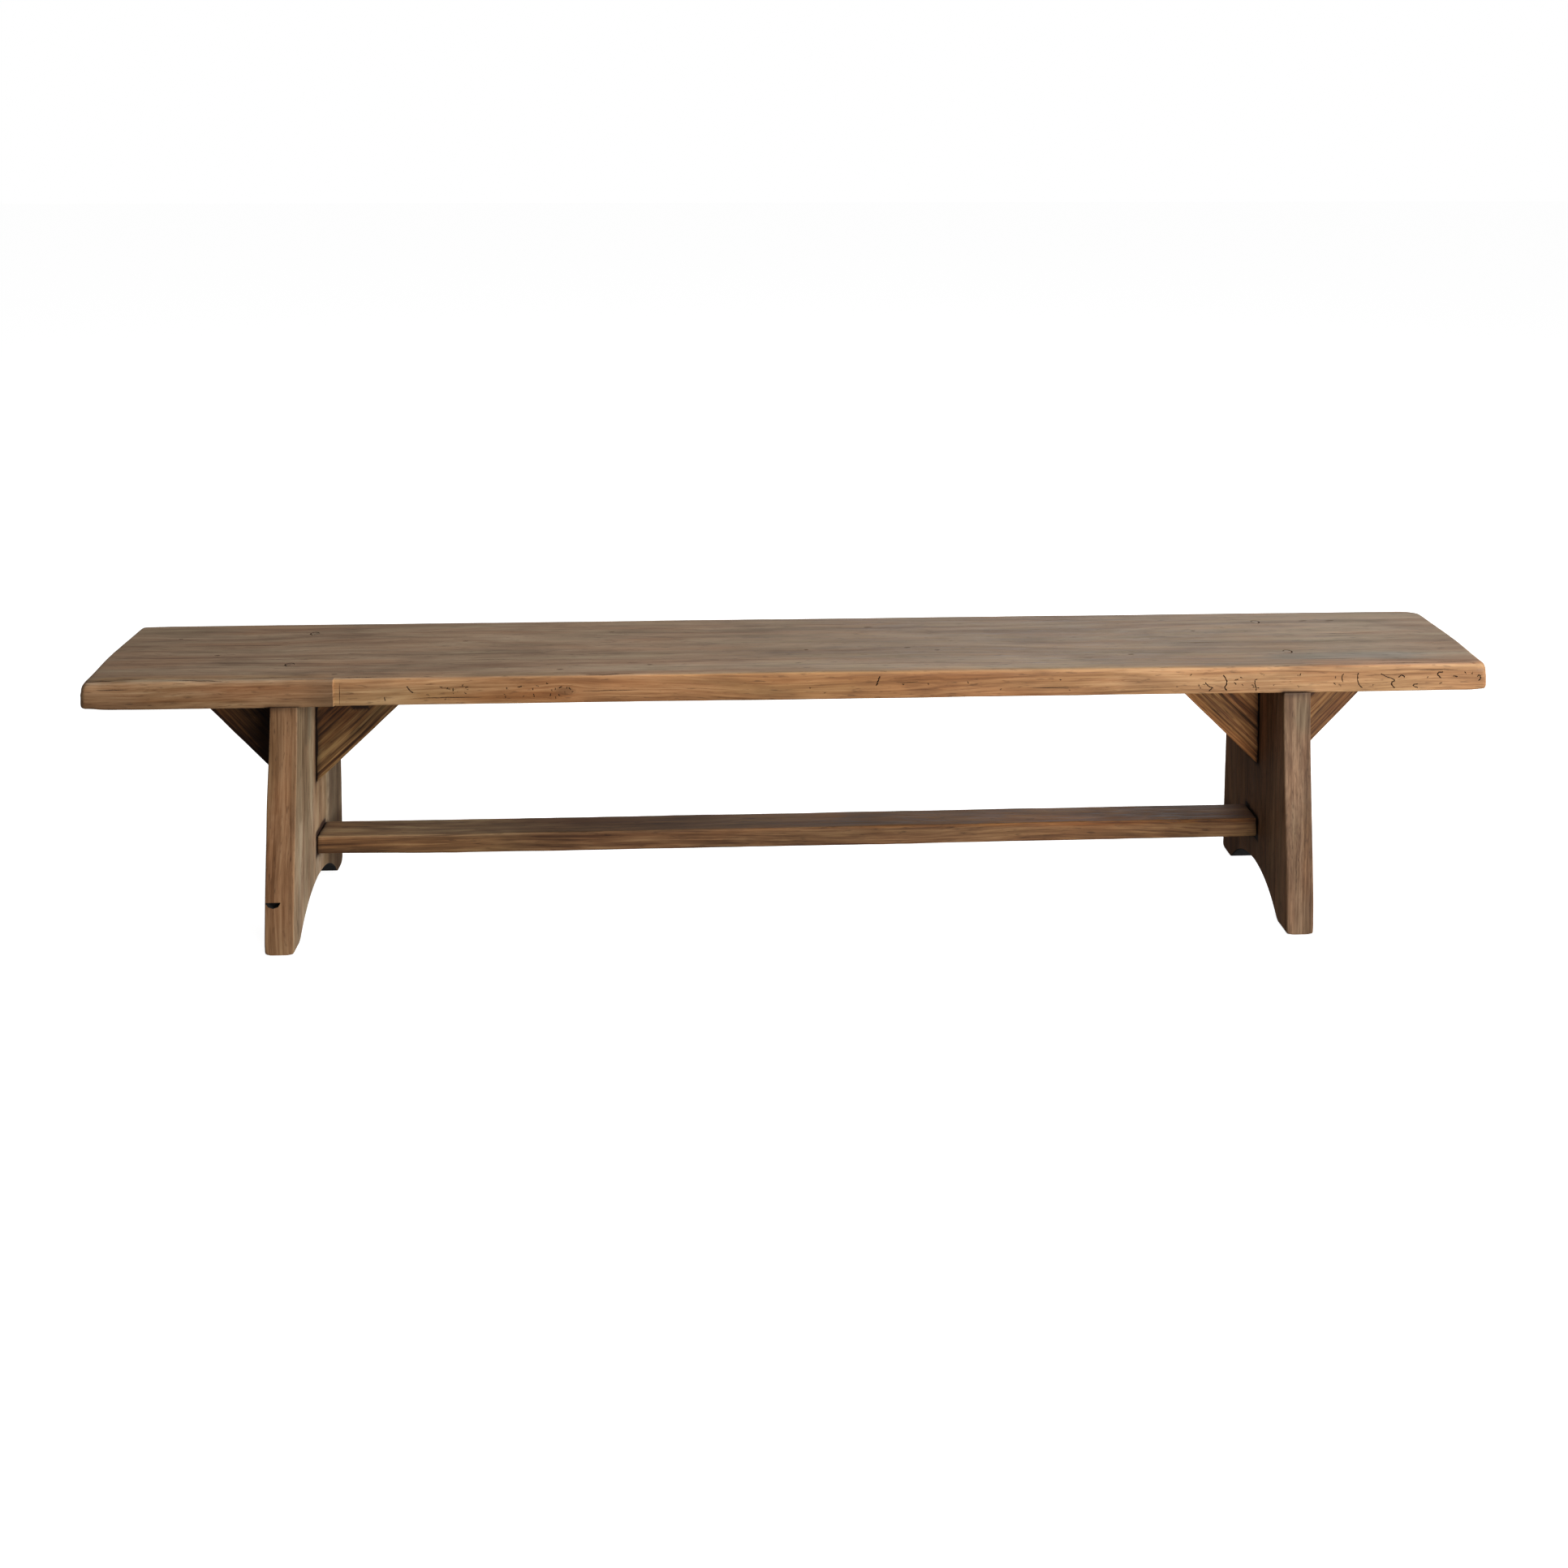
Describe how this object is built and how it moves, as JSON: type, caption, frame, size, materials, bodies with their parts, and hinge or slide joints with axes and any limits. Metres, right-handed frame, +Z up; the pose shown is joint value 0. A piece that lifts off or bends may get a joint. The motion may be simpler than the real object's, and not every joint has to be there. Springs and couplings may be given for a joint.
{
  "type": "wooden bench",
  "caption": "Long rustic plank bench on flared board legs with arched feet, triangular corner braces and a low stretcher.",
  "frame": {"origin": "on the floor, under the middle of the bench's box", "axes": "+X along the seat to the right seen from the front, -Y towards the front, +Z up"},
  "size_m": [2.282, 0.3338, 0.45],
  "materials": {
    "seat_wood": "weathered, dry, unvarnished, grey-brown top and warm tan edges",
    "leg_wood": "weathered, dry, unvarnished",
    "brace_wood": "old dark brown wood with strong diagonal grain",
    "stretcher_wood": "old dark brown wood, worn on its lower front edge",
    "peg_wood": "dark end grain",
    "nail_iron": "dark, rusted"
  },
  "bodies": {
    "root": {"seat_plank": "seat_wood", "left_leg": "leg_wood", "right_leg": "leg_wood", "stretcher": "stretcher_wood", "left_outer_brace": "brace_wood", "left_outer_seat_nail": "nail_iron", "left_outer_leg_nail": "nail_iron", "left_inner_brace": "brace_wood", "left_inner_seat_nail": "nail_iron", "left_inner_leg_nail": "nail_iron", "left_front_peg": "peg_wood", "left_rear_peg": "peg_wood", "right_outer_brace": "brace_wood", "right_outer_seat_nail": "nail_iron", "right_outer_leg_nail": "nail_iron", "right_inner_brace": "brace_wood", "right_inner_seat_nail": "nail_iron", "right_inner_leg_nail": "nail_iron", "right_front_peg": "peg_wood", "right_rear_peg": "peg_wood"}
  },
  "joints": []
}
